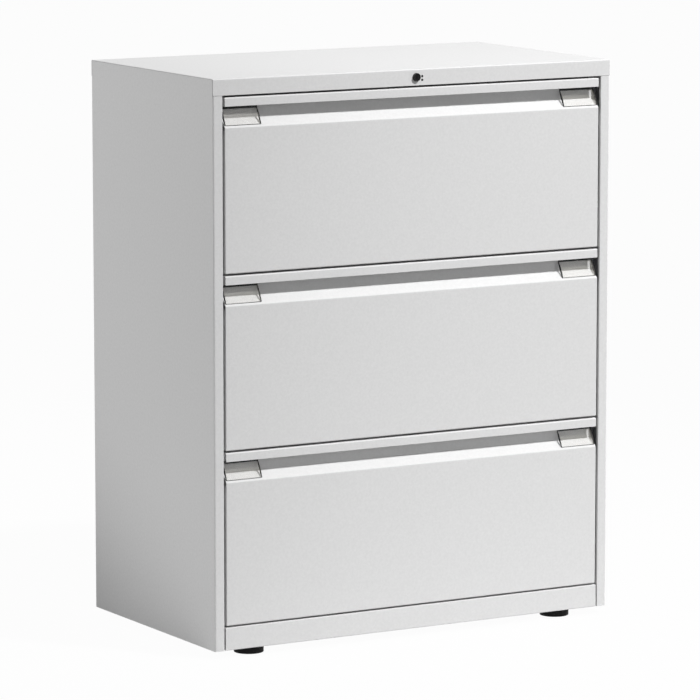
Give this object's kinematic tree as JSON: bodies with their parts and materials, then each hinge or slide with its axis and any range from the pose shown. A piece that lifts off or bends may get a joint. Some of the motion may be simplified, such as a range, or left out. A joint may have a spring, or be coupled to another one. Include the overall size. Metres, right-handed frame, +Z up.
{
  "type": "lateral filing cabinet",
  "caption": "Free-standing lateral filing cabinet in folded sheet steel: wide drawers on telescopic slides, finger-recess pulls, label holders, a central lock and levelling feet.",
  "frame": {"origin": "on the floor under the middle of the cabinet, where the feet stand", "axes": "+X to the right as seen from the front, -Y out of the front, the way the drawers open, +Z up"},
  "size_m": [0.8, 0.45, 1],
  "materials": {
    "powder_coat": "pale grey powder coat with a fine orange-peel texture, semi-matt",
    "tray_coat": "pale grey powder coat, semi-matt",
    "zinc_steel": "bright zinc plate",
    "lock_nickel": "satin nickel plate",
    "guide_nylon": "natural nylon",
    "holder_plastic": "clear warm-grey moulded plastic",
    "foot_plastic": "black moulded plastic"
  },
  "bodies": {
    "carcass": {"side_panel_left": "powder_coat", "side_panel_right": "powder_coat", "top_panel": "powder_coat", "back_panel": "powder_coat", "bottom_panel": "powder_coat", "front_plinth": "powder_coat", "base_rail_left": "zinc_steel", "base_rail_right": "zinc_steel", "slide_upright_front_left": "zinc_steel", "slide_upright_front_right": "zinc_steel", "slide_upright_rear_left": "zinc_steel", "slide_upright_rear_right": "zinc_steel", "slide_rail_upper_left": "zinc_steel", "slide_rail_upper_right": "zinc_steel", "slide_rail_middle_left": "zinc_steel", "slide_rail_middle_right": "zinc_steel", "slide_rail_lower_left": "zinc_steel", "slide_rail_lower_right": "zinc_steel", "lock_housing": "lock_nickel", "lock_link_guide": "guide_nylon", "lock_bar_guide_lower": "guide_nylon", "lock_bar_guide_upper": "guide_nylon"},
    "drawer_upper": {"drawer_front_upper": "powder_coat", "drawer_tray_upper": "tray_coat", "file_bar_front_upper": "zinc_steel", "file_bar_rear_upper": "zinc_steel", "label_holder_upper_left": "holder_plastic", "label_holder_upper_right": "holder_plastic", "slide_inner_upper_left": "zinc_steel", "slide_inner_upper_right": "zinc_steel"},
    "slides_upper": {"slide_middle_upper_left": "zinc_steel", "slide_middle_upper_right": "zinc_steel"},
    "drawer_middle": {"drawer_front_middle": "powder_coat", "drawer_tray_middle": "tray_coat", "file_bar_front_middle": "zinc_steel", "file_bar_rear_middle": "zinc_steel", "label_holder_middle_left": "holder_plastic", "label_holder_middle_right": "holder_plastic", "slide_inner_middle_left": "zinc_steel", "slide_inner_middle_right": "zinc_steel"},
    "slides_middle": {"slide_middle_middle_left": "zinc_steel", "slide_middle_middle_right": "zinc_steel"},
    "drawer_lower": {"drawer_front_lower": "powder_coat", "drawer_tray_lower": "tray_coat", "file_bar_front_lower": "zinc_steel", "file_bar_rear_lower": "zinc_steel", "label_holder_lower_left": "holder_plastic", "label_holder_lower_right": "holder_plastic", "slide_inner_lower_left": "zinc_steel", "slide_inner_lower_right": "zinc_steel"},
    "slides_lower": {"slide_middle_lower_left": "zinc_steel", "slide_middle_lower_right": "zinc_steel"},
    "lock_plug": {"lock_plug": "lock_nickel", "lock_cam": "zinc_steel"},
    "lock_link": {"lock_link": "zinc_steel"},
    "lock_bar": {"lock_bar": "zinc_steel"},
    "foot_front_left": {"foot_front_left": "foot_plastic"},
    "foot_front_right": {"foot_front_right": "foot_plastic"},
    "foot_rear_left": {"foot_rear_left": "foot_plastic"},
    "foot_rear_right": {"foot_rear_right": "foot_plastic"}
  },
  "joints": [
    {"name": "drawer_upper_slide", "type": "slide", "parent": "carcass", "child": "drawer_upper", "axis": [0, -1, 0], "range_m": [0, 0.38]},
    {"name": "drawer_middle_slide", "type": "slide", "parent": "carcass", "child": "drawer_middle", "axis": [0, -1, 0], "range_m": [0, 0.38]},
    {"name": "drawer_lower_slide", "type": "slide", "parent": "carcass", "child": "drawer_lower", "axis": [0, -1, 0], "range_m": [0, 0.38]},
    {"name": "slides_upper_run", "type": "slide", "parent": "carcass", "child": "slides_upper", "axis": [0, -1, 0], "range_m": [0, 0.19]},
    {"name": "slides_middle_run", "type": "slide", "parent": "carcass", "child": "slides_middle", "axis": [0, -1, 0], "range_m": [0, 0.19]},
    {"name": "slides_lower_run", "type": "slide", "parent": "carcass", "child": "slides_lower", "axis": [0, -1, 0], "range_m": [0, 0.19]},
    {"name": "lock_turn", "type": "hinge", "parent": "carcass", "child": "lock_plug", "pos_m": [0, -0.225, 0.9859], "axis": [0, -1, 0], "range_deg": [0, 90]},
    {"name": "lock_link_shift", "type": "slide", "parent": "carcass", "child": "lock_link", "axis": [1, 0, 0], "range_m": [0, 0.012]},
    {"name": "lock_bar_drop", "type": "slide", "parent": "carcass", "child": "lock_bar", "axis": [0, 0, -1], "range_m": [0, 0.012]},
    {"name": "foot_front_left_turn", "type": "hinge", "parent": "carcass", "child": "foot_front_left", "pos_m": [-0.314, -0.188, 0], "axis": [0, 0, 1], "continuous": true},
    {"name": "foot_front_right_turn", "type": "hinge", "parent": "carcass", "child": "foot_front_right", "pos_m": [0.314, -0.188, 0], "axis": [0, 0, 1], "continuous": true},
    {"name": "foot_rear_left_turn", "type": "hinge", "parent": "carcass", "child": "foot_rear_left", "pos_m": [-0.314, 0.188, 0], "axis": [0, 0, 1], "continuous": true},
    {"name": "foot_rear_right_turn", "type": "hinge", "parent": "carcass", "child": "foot_rear_right", "pos_m": [0.314, 0.188, 0], "axis": [0, 0, 1], "continuous": true}
  ],
  "couplings": [
    {"joint": "slides_upper_run", "follows": "drawer_upper_slide", "ratio": 0.5},
    {"joint": "slides_middle_run", "follows": "drawer_middle_slide", "ratio": 0.5},
    {"joint": "slides_lower_run", "follows": "drawer_lower_slide", "ratio": 0.5},
    {"joint": "lock_turn", "follows": "lock_bar_drop", "rad_per_m": 130.89},
    {"joint": "lock_link_shift", "follows": "lock_bar_drop", "ratio": 1}
  ]
}
